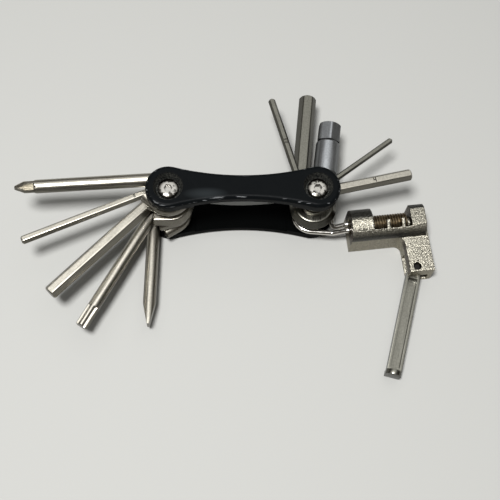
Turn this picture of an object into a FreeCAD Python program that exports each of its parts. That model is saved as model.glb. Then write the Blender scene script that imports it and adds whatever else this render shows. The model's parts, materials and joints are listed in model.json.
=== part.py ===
import FreeCAD, Part
import Sketcher
import math
import os

# Folding bicycle multi-tool, opened out, with a chain tool on a wire bail.
# Millimetres. The origin is the middle of the lower plate's underside, +X runs from the
# left pivot to the right one, and +Z goes up through the stack of tools.

doc = FreeCAD.newDocument("folding_chain_tool")
sheet = doc.addObject("Spreadsheet::Sheet", "Size")

SIZES = [
    # side plates
    ("pivot_distance", 54.0), ("lobe_radius", 8.2), ("waist_half", 4.7), ("plate_thick", 4.5),
    ("waist_relief", 1.1), ("plate_round", 1.5), ("well_height", 23.0),
    ("recess_radius", 5.4), ("recess_floor_radius", 4.3), ("recess_depth", 3.4),
    # pivot bolts, nuts and bushes
    ("bolt_radius", 2.0), ("fit_gap", 0.05), ("run_gap", 0.08), ("layer_gap", 0.1),
    ("head_radius", 3.8), ("head_height", 1.8), ("head_crown", 0.9),
    ("crown_radius", 2.4), ("socket_af", 2.5), ("socket_depth", 1.2),
    ("nut_af", 7.0), ("nut_thick", 2.4), ("bolt_stick_out", 0.3),
    ("bush_radius", 3.5), ("bail_bush_radius", 3.4), ("spacer_radius", 5.4), ("spacer_thick", 2.7),
    # bar sizes
    ("cross_dia", 5.0), ("hex3_af", 3.0), ("hex5_af", 5.0), ("star_dia", 4.5), ("slotted_dia", 4.8),
    ("hex4_af", 4.0), ("hex2_af", 2.0), ("hex25_af", 2.5), ("hex6_af", 6.0),
    # reach of each tip from its pivot
    ("cross_reach", 55.3), ("hex3_reach", 54.9), ("hex5_reach", 54.6), ("star_reach", 55.4),
    ("slotted_reach", 44.5), ("hex4_reach", 36.2), ("hex2_reach", 38.1), ("hex25_reach", 44.5),
    ("hex6_reach", 46.3),
    # the way each tool points as it lies, anticlockwise from +X
    ("cross_angle", 183.7), ("hex3_angle", 202.8), ("hex5_angle", 224.8), ("star_angle", 240.2),
    ("slotted_angle", 267.8), ("hex4_angle", 12.1), ("hex2_angle", 36.4), ("hex25_angle", 105.2),
    ("hex6_angle", 83.2), ("adapter_angle", 81.7),
    # bent hooks and eyes
    ("hook_wrap", 225.0), ("slotted_wrap", 237.0), ("wide_tail", 6.0), ("slack_tail", 6.2),
    ("tight_tail", 3.6), ("hex5_slack", 0.8), ("star_slack", 0.78), ("tip_chamfer", 0.7),
    ("eye_radius", 6.1), ("small_eye_radius", 4.4), ("hex2_offset", 1.2),
    # working tips
    ("cross_wing", 1.3), ("cross_flute", 8.5), ("cross_nose", 0.7), ("cross_slope", 0.5),
    ("star_flute_radius", 0.85), ("star_flute_circle", 2.55), ("star_flute_length", 8.5), ("star_lobes", 6),
    ("blade_thick", 0.9), ("blade_length", 8.5),
    # 8 mm adapter and its arm
    ("adapter_eye_thick", 2.8), ("adapter_eye_radius", 5.0), ("adapter_offset", 2.85), ("adapter_drop", 0.6),
    ("arm_af", 5.0),
    ("arm_start", 9.6), ("arm_end", 27.0), ("adapter_start", 12.4), ("adapter_radius", 4.6),
    ("adapter_body_length", 13.4), ("adapter_shoulder", 1.2), ("adapter_shoulder_radius", 3.9),
    ("adapter_af", 8.0), ("adapter_hex_length", 7.4), ("adapter_hex_turn", 35.6), ("adapter_bore_gap", 0.08),
    ("neck_width", 4.4),
    # chain tool: its barrel lies along its own X, at barrel_y to the side of the pivot
    ("chain_angle", 5.85), ("barrel_radius", 6.25), ("barrel_y", -8.8), ("slab_height", 10.6),
    ("barrel_start", 12.9), ("saddle_start", 21.2), ("saddle_end", 35.6), ("barrel_end", 41.3),
    ("saddle_wall", 2.5), ("saddle_floor", 3.8), ("saddle_back", 3.2), ("block_flat", 5.4),
    ("block_back", 5.2),
    ("fin_thick", 1.3), ("first_fin", 26.1), ("second_fin", 31.8), ("fin_rise", -0.4), ("fin_gap", 0.25),
    ("arm_left", 32.9), ("arm_right", 42.3), ("arm_tip", -29.1), ("inner_round", 2.6),
    ("anvil_radius", 1.9), ("slot_low", 1.2), ("slot_high", 5.4), ("slot_wall", 1.8), ("slot_depth", 9.0),
    ("lever_pin_x", 35.9), ("lever_pin_y", -26.9), ("lever_pin_radius", 1.4), ("lever_pin_sink", 1.6),
    # driver screw and pin
    ("screw_radius", 3.4), ("screw_start", 13.1), ("screw_end", 34.6), ("screw_socket_radius", 2.9),
    ("screw_socket_depth", 5.0), ("driver_pin_radius", 1.6), ("driver_pin_root", 4.0), ("pin_clear", 0.5),
    ("pin_bevel", 0.3),
    # lever
    ("lever_angle", -105.4), ("lever_length", 39.8), ("lever_half", 2.7), ("lever_height", 4.0),
    ("lever_wall", 1.0), ("lever_floor", 1.3), ("lever_groove_start", 3.2), ("lever_tab", 1.8),
    ("lever_tab_radius", 2.85), ("lever_tab_height", 6.4), ("lever_tab_low", 0.3),
    # bail of round wire
    ("wire_radius", 0.95), ("bail_radius", 7.2), ("bail_flat", 0.15), ("bail_ease", 2.0), ("wire_bend", 1.9),
    ("leg_start", 6.5), ("leg_spread", 1.2), ("leg_front", 0.9), ("leg_end", 15.5), ("leg_level_from", 12.0),
]

for row, (name, number) in enumerate(SIZES, start=1):
    sheet.set("A%d" % row, name)
    sheet.set("B%d" % row, str(number))
    sheet.setAlias("B%d" % row, name)
doc.recompute()

X = FreeCAD.Vector(1, 0, 0)
Y = FreeCAD.Vector(0, 1, 0)
Z = FreeCAD.Vector(0, 0, 1)
ALONG = {
    "X": FreeCAD.Rotation(Y, Z, X, "ZXY"),
    "Z": FreeCAD.Rotation(),
}
nodes = {}


def size(name):
    """The number in the sheet's cell called name."""
    return getattr(sheet, name)


def bind(thing, **sizes):
    """Tie properties to the sheet; a name such as at_x means Placement.Base.x."""
    for prop, formula in sizes.items():
        path = "Placement.Base." + prop[-1] if prop.startswith("at_") else prop
        thing.setExpression(path, str(formula))
    return thing


def add(kind, name, **sizes):
    """A new object of one kind whose sizes follow the sheet."""
    return bind(doc.addObject(kind, name), **sizes)


def box(name, low, span):
    """A box from its low corner and its three spans."""
    return add("Part::Box", name, at_x=low[0], at_y=low[1], at_z=low[2],
               Length=span[0], Width=span[1], Height=span[2])


def rod(name, radius, length, at, along="Z"):
    """A round rod that starts at a point and runs along X or Z."""
    made = doc.addObject("Part::Cylinder", name)
    made.Placement.Rotation = ALONG[along]
    return bind(made, Radius=radius, Height=length, at_x=at[0], at_y=at[1], at_z=at[2])


def cone(name, start_radius, end_radius, length, at, along="Z"):
    """A cone frustum that starts at a point and runs along X or Z."""
    made = doc.addObject("Part::Cone", name)
    made.Placement.Rotation = ALONG[along]
    return bind(made, Radius1=start_radius, Radius2=end_radius, Height=length,
                at_x=at[0], at_y=at[1], at_z=at[2])


def prism(name, flats, length, at, along="Z", turn=0.0):
    """A hexagonal prism measured across its flats."""
    made = doc.addObject("Part::Prism", name)
    made.Polygon = 6
    made.Placement.Rotation = ALONG[along].multiply(FreeCAD.Rotation(Z, turn))
    return bind(made, Circumradius="(%s) / sqrt(3)" % flats, Height=length,
                at_x=at[0], at_y=at[1], at_z=at[2])


def fuse(name, shapes):
    made = doc.addObject("Part::MultiFuse", name)
    made.Shapes = shapes
    made.Refine = True
    return made


def cut(name, base, tools):
    made = doc.addObject("Part::Cut", name)
    made.Base = base
    made.Tool = tools[0] if len(tools) == 1 else fuse(name + "_tools", tools)
    made.Refine = True
    return made


def common(name, shapes):
    made = doc.addObject("Part::MultiCommon", name)
    made.Shapes = shapes
    made.Refine = True
    return made


def keep(node, thing):
    """Name a finished sub-part; its label is its file's name."""
    thing.Label = node
    nodes[node] = thing
    return thing


def stand(thing, side, level, angle=None):
    """Put a piece built about its pivot on the left or right pivot axis, at one level."""
    thing.Placement.Rotation = FreeCAD.Rotation(Z, 1.0)
    bind(thing, at_x="%d * Size.pivot_distance / 2" % side, at_z=level)
    thing.setExpression("Placement.Rotation.Angle", angle or "0")
    return thing


# Levels of the two stacks, each the middle of its layer.

def levels(bottom, layers):
    """Middle heights of layers stacked upwards with layer_gap between them."""
    middles = {}
    below = bottom
    for name, thick in layers:
        middles[name] = "%s + (%s) / 2" % (below, thick)
        below = "%s + %s + Size.layer_gap" % (below, thick)
    return middles


WELL_FLOOR = "Size.plate_thick + Size.layer_gap"
TOTAL = "2 * Size.plate_thick + Size.well_height"
WELL_ROOF = "Size.plate_thick + Size.well_height - Size.layer_gap"
LEFT = levels(WELL_FLOOR, [
    ("slotted", "Size.slotted_dia"), ("star", "Size.star_dia"), ("hex5", "Size.hex5_af"),
    ("hex3", "Size.hex3_af"), ("cross", "Size.cross_dia")])
RIGHT = levels(WELL_FLOOR, [
    ("spacer", "Size.spacer_thick"), ("bail", "2 * Size.wire_radius"), ("hex6", "Size.hex6_af"),
    ("adapter", "Size.adapter_eye_thick"), ("hex25", "Size.hex25_af"), ("hex2", "Size.hex2_af"),
    ("hex4", "Size.hex4_af")])


# Side plates: two round lobes joined by one long concave curve on each side.

WAIST_CURVE = ("((Size.pivot_distance / 2) ^ 2 + Size.waist_half ^ 2 - Size.lobe_radius ^ 2)"
               " / (2 * (Size.lobe_radius - Size.waist_half))")


def origin_plane(body, role):
    """One of a body's own origin planes."""
    return next(plane for plane in body.Origin.OriginFeatures if plane.Role == role)


def half_outline(body, name):
    """Upper half of the dog-bone: lobe arc, waist arc, lobe arc and the centre line."""
    half = size("pivot_distance") / 2
    lobe = size("lobe_radius")
    waist = size("waist_half")
    curve = (half ** 2 + waist ** 2 - lobe ** 2) / (2 * (lobe - waist))
    lean = math.atan2(waist + curve, half)
    sketch = body.newObject("Sketcher::SketchObject", name)
    sketch.AttachmentSupport = [(origin_plane(body, "XY_Plane"), "")]
    sketch.MapMode = "FlatFace"
    circles = (
        (FreeCAD.Vector(half, 0, 0), lobe, 0, math.pi - lean),
        (FreeCAD.Vector(0, waist + curve, 0), curve, lean - math.pi, -lean),
        (FreeCAD.Vector(-half, 0, 0), lobe, lean, math.pi),
    )
    for middle, radius, first, last in circles:
        sketch.addGeometry(Part.ArcOfCircle(Part.Circle(middle, Z, radius), first, last))
    end_to_end = half + lobe
    sketch.addGeometry(Part.LineSegment(FreeCAD.Vector(-end_to_end, 0, 0), FreeCAD.Vector(end_to_end, 0, 0)))
    right, top, left, line = range(4)
    start, end, centre = 1, 2, 3
    x_axis, y_axis, origin = -1, -2, (-1, 1)
    for rule in (
            ("Tangent", right, end, top, end), ("Tangent", top, start, left, start),
            ("Coincident", left, end, line, start), ("Coincident", line, end, right, start),
            ("PointOnObject", line, start, x_axis), ("PointOnObject", line, end, x_axis),
            ("PointOnObject", right, centre, x_axis), ("PointOnObject", left, centre, x_axis),
            ("PointOnObject", top, centre, y_axis), ("Equal", right, left)):
        sketch.addConstraint(Sketcher.Constraint(*rule))
    for label, rule, formula in (
            ("reach", ("DistanceX", *origin, right, centre, half), "Size.pivot_distance / 2"),
            ("lobe", ("Radius", right, lobe), "Size.lobe_radius"),
            ("rise", ("DistanceY", *origin, top, centre, waist + curve), "Size.waist_half + " + WAIST_CURVE)):
        sketch.renameConstraint(sketch.addConstraint(Sketcher.Constraint(*rule)), label)
        sketch.setExpression("Constraints." + label, formula)
    return sketch


def side_plate(node):
    """Plate with a countersunk recess over each pivot, thinner along the inside of its waist."""
    body = doc.addObject("PartDesign::Body", node + "_blank")
    pad = body.newObject("PartDesign::Pad", node + "_pad")
    pad.Profile = half_outline(body, node + "_outline")
    bind(pad, Length="Size.plate_thick")
    mirrored = body.newObject("PartDesign::Mirrored", node + "_whole")
    mirrored.Originals = [pad]
    mirrored.MirrorPlane = (origin_plane(body, "XZ_Plane"), [""])
    mirrored.Refine = True
    body.Tip = mirrored
    doc.recompute()
    outer = [i for i, edge in enumerate(mirrored.Shape.Edges, 1)
             if edge.BoundBox.ZMin > size("plate_thick") - 0.01]
    soft = body.newObject("PartDesign::Fillet", node + "_soft")
    soft.Base = (mirrored, ["Edge%d" % i for i in outer])
    bind(soft, Radius="Size.plate_round")
    body.Tip = soft
    cuts = []
    for side, word in ((1, "right"), (-1, "left")):
        middle = "%d * Size.pivot_distance / 2" % side
        cuts.append(rod("%s_%s_hole" % (node, word), "Size.bolt_radius + Size.fit_gap", "Size.plate_thick",
                        (middle, 0, 0)))
        cuts.append(cone("%s_%s_recess" % (node, word), "Size.recess_floor_radius", "Size.recess_radius",
                         "Size.recess_depth", (middle, 0, "Size.plate_thick - Size.recess_depth")))
    relief = box(node + "_relief_bar",
                 ("-Size.pivot_distance / 2 + Size.lobe_radius + Size.waist_relief", "-Size.lobe_radius",
                  "-Size.plate_thick"),
                 ("Size.pivot_distance - 2 * (Size.lobe_radius + Size.waist_relief)", "2 * Size.lobe_radius",
                  "Size.plate_thick + Size.waist_relief"))
    return cut(node, body, cuts + [relief])


def plates():
    top = keep("top_plate", side_plate("top_plate"))
    bind(top, at_z="Size.plate_thick + Size.well_height")
    bottom = keep("bottom_plate", side_plate("bottom_plate"))
    bottom.Placement.Rotation = FreeCAD.Rotation(X, 180.0)
    bind(bottom, at_z="Size.plate_thick")


# Pivot bolts, nuts, bushes and the spacer.

def pivot_bolt(node, side):
    """Button-head bolt: a rounded head with a hexagon socket, seated in the top recess."""
    seat = "%s - Size.recess_depth" % TOTAL
    low = "Size.recess_depth - Size.nut_thick - Size.bolt_stick_out"
    shank = rod(node + "_shank", "Size.bolt_radius", "%s - (%s)" % (seat, low), (0, 0, low))
    rim = rod(node + "_rim", "Size.head_radius", "Size.head_height - Size.head_crown", (0, 0, seat))
    crown = cone(node + "_crown", "Size.head_radius", "Size.crown_radius", "Size.head_crown",
                 (0, 0, "%s + Size.head_height - Size.head_crown" % seat))
    socket = prism(node + "_socket", "Size.socket_af", "Size.socket_depth",
                   (0, 0, "%s + Size.head_height - Size.socket_depth" % seat))
    bolt = cut(node, fuse(node + "_blank", [shank, rim, crown]), [socket])
    bind(bolt, at_x="%d * Size.pivot_distance / 2" % side)
    keep(node, bolt)


def pivot_nut(node, side):
    low = (0, 0, "Size.recess_depth - Size.nut_thick")
    nut = prism(node + "_blank", "Size.nut_af", "Size.nut_thick", low)
    thread = rod(node + "_thread", "Size.bolt_radius + Size.fit_gap", "Size.nut_thick", low)
    made = cut(node, nut, [thread])
    bind(made, at_x="%d * Size.pivot_distance / 2" % side)
    keep(node, made)


def bush(node, side, radius, low, high):
    """Ring on the bolt's shank, from one height to another."""
    ring = rod(node + "_ring", radius, "%s - (%s)" % (high, low), (0, 0, low))
    hole = rod(node + "_hole", "Size.bolt_radius + Size.fit_gap", "%s - (%s)" % (high, low), (0, 0, low))
    made = cut(node, ring, [hole])
    bind(made, at_x="%d * Size.pivot_distance / 2" % side)
    keep(node, made)


def pivots():
    for side, word in ((-1, "left"), (1, "right")):
        pivot_bolt(word + "_pivot_bolt", side)
        pivot_nut(word + "_pivot_nut", side)
    bush("left_upper_bush", -1, "Size.bush_radius", "%s - Size.hex3_af / 2" % LEFT["hex3"],
         "%s + Size.cross_dia / 2" % LEFT["cross"])
    bush("left_lower_bush", -1, "Size.bush_radius", WELL_FLOOR, "%s + Size.slotted_dia / 2" % LEFT["slotted"])
    bush("bail_bush", 1, "Size.bail_bush_radius", "%s - Size.wire_radius" % RIGHT["bail"],
         "%s + Size.wire_radius" % RIGHT["bail"])
    bush("right_spacer", 1, "Size.spacer_radius", "%s - Size.spacer_thick / 2" % RIGHT["spacer"],
         "%s + Size.spacer_thick / 2" % RIGHT["spacer"])


# Bars bent into a hook round their pivot. Each is built with its pivot at the origin and its
# straight shaft along +X, at hand * offset to the side.

def bar_section(node, sides, across, offset):
    """Hexagon with flats up, or circle, standing across the X axis."""
    kind = "Part::RegularPolygon" if sides == 6 else "Part::Circle"
    made = doc.addObject(kind, node + "_section")
    made.Placement.Rotation = ALONG["X"]
    bind(made, at_y=offset)
    if sides == 6:
        made.Polygon = 6
        bind(made, Circumradius="%s / sqrt(3)" % across)
    else:
        bind(made, Radius="%s / 2" % across)
    return made


def straight(name, section, length, way=1):
    """Solid bar from a section, along +X or -X."""
    made = doc.addObject("Part::Extrusion", name)
    made.Base = section
    made.DirMode = "Custom"
    made.Dir = X * way
    made.Solid = True
    return bind(made, LengthFwd=length)


def blunt_tip(node, shaft, across, reach, offset):
    """Chamfer the end of a hexagon bar with a long cone."""
    point = "%s / sqrt(3) - Size.tip_chamfer" % across
    shell = cone(node + "_chamfer", "%s + %s" % (point, reach), point, reach, (0, offset, 0), "X")
    return common(node + "_shaft_tip", [shaft, shell])


def cross_tip(node, shaft, across, reach, offset):
    """Cone point with a quarter cut away between each pair of wings."""
    shell = cone(node + "_point", "Size.cross_nose + Size.cross_slope * %s" % reach,
                 "Size.cross_nose", reach, (0, offset, 0), "X")
    quarters = []
    for k in range(4):
        quarter = doc.addObject("Part::Box", "%s_quarter_%d" % (node, k))
        quarter.Placement.Rotation = FreeCAD.Rotation(X, 90.0 * k + 45.0)
        start = quarter.Placement.Rotation.multVec(FreeCAD.Vector(0, 1, 1))
        bind(quarter, Length="Size.cross_flute", Width=across, Height=across,
             at_x="%s - Size.cross_flute" % reach,
             at_y="%s + (%r) * Size.cross_wing / 2" % (offset, start.y),
             at_z="(%r) * Size.cross_wing / 2" % start.z)
        quarters.append(quarter)
    return cut(node + "_fluted", common(node + "_pointed", [shaft, shell]), quarters)


def star_tip(node, shaft, across, reach, offset):
    """Six round flutes make the star."""
    flutes = []
    for k in range(int(size("star_lobes"))):
        turn = "%d * 360 deg / Size.star_lobes" % k
        flutes.append(rod("%s_flute_%d" % (node, k), "Size.star_flute_radius", "Size.star_flute_length",
                          ("%s - Size.star_flute_length" % reach,
                           "%s + Size.star_flute_circle * cos(%s)" % (offset, turn),
                           "Size.star_flute_circle * sin(%s)" % turn), "X"))
    return cut(node + "_star", shaft, flutes)


def slotted_tip(node, shaft, across, reach, offset):
    """Blade ground from both sides of the bar to a thin upright edge."""
    faces = []
    for side, turn, floor in ((1, 0.0, "-" + across), (-1, 180.0, across)):
        face = doc.addObject("Part::Wedge", "%s_face_%d" % (node, len(faces)))
        face.Placement.Rotation = FreeCAD.Rotation(X, turn)
        bind(face, at_x="%s - Size.blade_length" % reach,
             at_y="%s + %d * Size.blade_thick / 2" % (offset, side), at_z=floor,
             Xmin="Size.blade_length - Size.layer_gap", Xmax="Size.blade_length",
             X2min="0", X2max="Size.blade_length", Ymin="0", Ymax="%s / 2" % across,
             Zmin="0", Zmax="2 * " + across, Z2min="0", Z2max="2 * " + across)
        faces.append(face)
    return cut(node + "_ground", shaft, faces)


def hook_tool(node, side, level, angle, sides, across, bend, hand, reach, tail, tip,
              wrap="Size.hook_wrap", slack="0"):
    """Bar wound round its pivot: shaft, loop and a straight tail. Slack widens the loop away
    from the shaft, so that it lies loosely on its bolt."""
    half_width = "%s / sqrt(3)" % across if sides == 6 else "%s / 2" % across
    offset = "%d * (%s + Size.run_gap + %s)" % (hand, bend, half_width)
    middle = "%d * %s" % (-hand, slack)
    turn = "%d * %s * 1 deg" % (hand, wrap)
    section = bar_section(node, sides, across, offset)
    shaft = tip(node, straight(node + "_bar", section, reach), across, reach, offset)
    loop = doc.addObject("Part::Revolution", node + "_loop")
    loop.Source = section
    loop.Axis = Z * hand
    loop.Solid = True
    loop.setExpression("Base.y", middle)
    bind(loop, Angle=wrap)
    end = straight(node + "_tail", section, tail, -1)
    end.Placement.Rotation = FreeCAD.Rotation(Z, 1.0)
    end.setExpression("Placement.Rotation.Angle", "%d * %s" % (hand, wrap))
    bind(end, at_x="%s * sin(%s)" % (middle, turn), at_y="%s * (1 - cos(%s))" % (middle, turn))
    made = keep(node, fuse(node, [shaft, loop, end]))
    stand(made, side, level, angle)


def eye_tool(node, side, level, angle, across, eye, offset, reach):
    """Hexagon bar with a flat ring eye at its pivot."""
    section = bar_section(node, 6, across, offset)
    shaft = blunt_tip(node, straight(node + "_bar", section, reach), across, reach, offset)
    ring = rod(node + "_eye", eye, across, (0, 0, "-%s / 2" % across))
    hole = rod(node + "_hole", "Size.bolt_radius + Size.run_gap", across, (0, 0, "-%s / 2" % across))
    made = keep(node, cut(node, fuse(node + "_blank", [shaft, ring]), [hole]))
    stand(made, side, level, angle)


def left_tools():
    hook_tool("cross_head_driver", -1, LEFT["cross"], "Size.cross_angle", 0, "Size.cross_dia",
              "Size.bush_radius", -1, "Size.cross_reach", "Size.wide_tail", cross_tip)
    hook_tool("hex_key_3", -1, LEFT["hex3"], "Size.hex3_angle", 6, "Size.hex3_af",
              "Size.bush_radius", -1, "Size.hex3_reach", "Size.wide_tail", blunt_tip)
    hook_tool("hex_key_5", -1, LEFT["hex5"], "Size.hex5_angle", 6, "Size.hex5_af",
              "Size.bolt_radius", -1, "Size.hex5_reach", "Size.slack_tail", blunt_tip,
              slack="Size.hex5_slack")
    hook_tool("star_head_driver", -1, LEFT["star"], "Size.star_angle", 0, "Size.star_dia",
              "Size.bolt_radius", -1, "Size.star_reach", "Size.slack_tail", star_tip,
              slack="Size.star_slack")
    hook_tool("slotted_driver", -1, LEFT["slotted"], "Size.slotted_angle", 0, "Size.slotted_dia",
              "Size.bush_radius", -1, "Size.slotted_reach", "Size.wide_tail", slotted_tip,
              wrap="Size.slotted_wrap")


def right_tools():
    eye_tool("hex_key_4", 1, RIGHT["hex4"], "Size.hex4_angle", "Size.hex4_af", "Size.eye_radius",
             "0", "Size.hex4_reach")
    eye_tool("hex_key_2", 1, RIGHT["hex2"], "Size.hex2_angle", "Size.hex2_af", "Size.small_eye_radius",
             "Size.hex2_offset", "Size.hex2_reach")
    hook_tool("hex_key_2_5", 1, RIGHT["hex25"], "Size.hex25_angle", 6, "Size.hex25_af",
              "Size.bolt_radius", 1, "Size.hex25_reach", "Size.tight_tail", blunt_tip)
    hook_tool("hex_key_6", 1, RIGHT["hex6"], "Size.hex6_angle", 6, "Size.hex6_af",
              "Size.bolt_radius", 1, "Size.hex6_reach", "Size.tight_tail", blunt_tip)


# The 8 mm adapter pushes onto a hexagon arm of its own.

def adapter():
    side_way = "-Size.adapter_offset"
    axis_height = "-Size.adapter_drop"
    half = "Size.adapter_eye_thick / 2"
    eye = rod("adapter_eye", "Size.adapter_eye_radius", "Size.adapter_eye_thick", (0, 0, "-" + half))
    hole = rod("adapter_eye_hole", "Size.bolt_radius + Size.run_gap", "Size.adapter_eye_thick",
               (0, 0, "-" + half))
    neck = box("adapter_neck", (0, "%s - Size.neck_width / 2" % side_way, "-" + half),
               ("Size.arm_start + Size.arm_af / 2", "Size.neck_width", "Size.adapter_eye_thick"))
    bar = prism("adapter_bar", "Size.arm_af", "Size.arm_end - Size.arm_start",
                ("Size.arm_start", side_way, axis_height), "X")
    arm = keep("adapter_arm", cut("adapter_arm", fuse("adapter_arm_blank", [eye, neck, bar]), [hole]))
    stand(arm, 1, RIGHT["adapter"], "Size.adapter_angle")

    start = "Size.adapter_start"
    round_body = rod("adapter_round", "Size.adapter_radius",
                     "Size.adapter_body_length - Size.adapter_shoulder", (start, side_way, axis_height), "X")
    shoulder = cone("adapter_shoulder_cone", "Size.adapter_radius", "Size.adapter_shoulder_radius",
                    "Size.adapter_shoulder", (start + " + Size.adapter_body_length - Size.adapter_shoulder",
                                              side_way, axis_height), "X")
    head = prism("adapter_head_bar", "Size.adapter_af", "Size.adapter_hex_length",
                 (start + " + Size.adapter_body_length", side_way, axis_height), "X",
                 size("adapter_hex_turn"))
    end = "Size.adapter_start + Size.adapter_body_length + Size.adapter_hex_length"
    point = "Size.adapter_af / sqrt(3) - Size.tip_chamfer"
    head_shell = cone("adapter_head_chamfer", "%s + %s" % (point, end), point, end,
                      (0, side_way, axis_height), "X")
    head_tip = common("adapter_head", [head, head_shell])
    bore = prism("adapter_bore", "Size.arm_af + 2 * Size.adapter_bore_gap",
                 "Size.arm_end - Size.adapter_start + Size.layer_gap", (start, side_way, axis_height), "X")
    made = cut("hex_adapter_8", fuse("adapter_blank", [round_body, shoulder, head_tip]), [bore])
    keep("hex_adapter_8", made)
    stand(made, 1, RIGHT["adapter"], "Size.adapter_angle")


# Chain tool. Its pieces share one frame: X along the barrel, with the pivot at the origin.

BARREL_LENGTH = "Size.barrel_end - Size.barrel_start"
SADDLE_LENGTH = "Size.saddle_end - Size.saddle_start"


def saddle_fin(name, start):
    """Tooth that holds a chain roller: a quarter ring standing on the front wall."""
    axis = (start, "Size.barrel_y", "Size.slab_height")
    ring = rod(name + "_ring", "Size.barrel_radius - Size.fin_gap", "Size.fin_thick", axis, "X")
    hole = rod(name + "_hole", "Size.screw_radius + Size.fin_gap", "Size.fin_thick", axis, "X")
    region = box(name + "_region", (start, "Size.barrel_y - Size.barrel_radius", "Size.slab_height"),
                 ("Size.fin_thick", "Size.barrel_radius + Size.fin_rise", "Size.barrel_radius"))
    return common(name, [cut(name + "_arc", ring, [hole]), region])


def chain_tool_body():
    """L-shaped casting: barrel with an open saddle, and an arm with a slot for the lever."""
    rear = ("Size.barrel_start", "Size.barrel_y", "Size.slab_height")
    barrel = rod("body_barrel", "Size.barrel_radius", BARREL_LENGTH, rear, "X")
    slab = box("body_slab", ("Size.barrel_start", "Size.barrel_y - Size.barrel_radius", 0),
               (BARREL_LENGTH, "2 * Size.barrel_radius", "Size.slab_height"))
    arm = box("body_arm", ("Size.arm_left", "Size.arm_tip", 0),
              ("Size.arm_right - Size.arm_left", "Size.barrel_y - Size.arm_tip", "Size.slab_height"))
    hollow = ("Size.arm_left - Size.inner_round", "Size.barrel_y - Size.barrel_radius - Size.inner_round", 0)
    web = box("body_web", hollow, ("Size.inner_round", "Size.inner_round", "Size.slab_height"))
    web_round = rod("body_web_round", "Size.inner_round", "Size.slab_height", hollow)
    blank = fuse("body_blank", [barrel, slab, arm, cut("body_fillet", web, [web_round])])
    front = "Size.barrel_y - Size.barrel_radius"
    floor = "Size.slab_height - Size.saddle_floor"
    opening = box("saddle_opening", ("Size.saddle_start", front + " + Size.saddle_wall", floor),
                  (SADDLE_LENGTH, "2 * Size.barrel_radius", "Size.saddle_floor + Size.barrel_radius"))
    back = box("saddle_back_cut", ("Size.saddle_start", "Size.barrel_y + Size.saddle_back", 0),
               (SADDLE_LENGTH, "Size.barrel_radius", "Size.slab_height"))
    flat = box("block_flat_cut", ("Size.saddle_end", front, "Size.slab_height + Size.block_flat"),
               ("Size.barrel_end - Size.saddle_end", "2 * Size.barrel_radius", "Size.barrel_radius"))
    block_back = box("block_back_cut", ("Size.saddle_end", "Size.barrel_y + Size.block_back", 0),
                     ("Size.barrel_end - Size.saddle_end", "Size.barrel_radius",
                      "Size.slab_height + Size.barrel_radius"))
    open_body = cut("body_open", blank, [opening, back, flat, block_back])
    fins = [saddle_fin("first_saddle_fin", "Size.first_fin"),
            saddle_fin("second_saddle_fin", "Size.second_fin")]
    finned = fuse("body_finned", [open_body] + fins)
    bore = rod("driver_bore", "Size.screw_radius + Size.fit_gap", "Size.saddle_start - Size.barrel_start",
               rear, "X")
    anvil = rod("anvil_bore", "Size.anvil_radius", "Size.barrel_end - Size.saddle_end",
                ("Size.saddle_end", "Size.barrel_y", "Size.slab_height"), "X")
    slot = box("lever_slot", ("Size.arm_left", "Size.arm_tip", "Size.slot_low"),
               ("Size.arm_right - Size.arm_left - Size.slot_wall", "Size.slot_depth",
                "Size.slot_high - Size.slot_low"))
    pin_hole = rod("lever_pin_hole", "Size.lever_pin_radius", "Size.slab_height",
                   ("Size.lever_pin_x", "Size.lever_pin_y", 0))
    made = cut("chain_tool_body", finned, [bore, anvil, slot, pin_hole])
    keep("chain_tool_body", made)
    stand(made, 1, "0", "Size.chain_angle")


def driver():
    """Threaded driver screw with a socket in its rear end, and the hard pin in its nose."""
    at = ("Size.screw_start", "Size.barrel_y", "Size.slab_height")
    blank = rod("screw_blank", "Size.screw_radius", "Size.screw_end - Size.screw_start", at, "X")
    socket = rod("screw_socket", "Size.screw_socket_radius", "Size.screw_socket_depth", at, "X")
    seat = rod("screw_pin_seat", "Size.driver_pin_radius", "Size.driver_pin_root",
               ("Size.screw_end - Size.driver_pin_root", "Size.barrel_y", "Size.slab_height"), "X")
    screw = keep("driver_screw", cut("driver_screw", blank, [socket, seat]))
    stand(screw, 1, "0", "Size.chain_angle")
    root = "Size.screw_end - Size.driver_pin_root"
    nose = "Size.saddle_end - Size.pin_clear - Size.pin_bevel"
    pin = rod("driver_pin_shank", "Size.driver_pin_radius", "%s - (%s)" % (nose, root),
              (root, "Size.barrel_y", "Size.slab_height"), "X")
    point = cone("driver_pin_nose", "Size.driver_pin_radius", "Size.driver_pin_radius - Size.pin_bevel",
                 "Size.pin_bevel", (nose, "Size.barrel_y", "Size.slab_height"), "X")
    stand(keep("driver_pin", fuse("driver_pin", [pin, point])), 1, "0", "Size.chain_angle")


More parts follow.
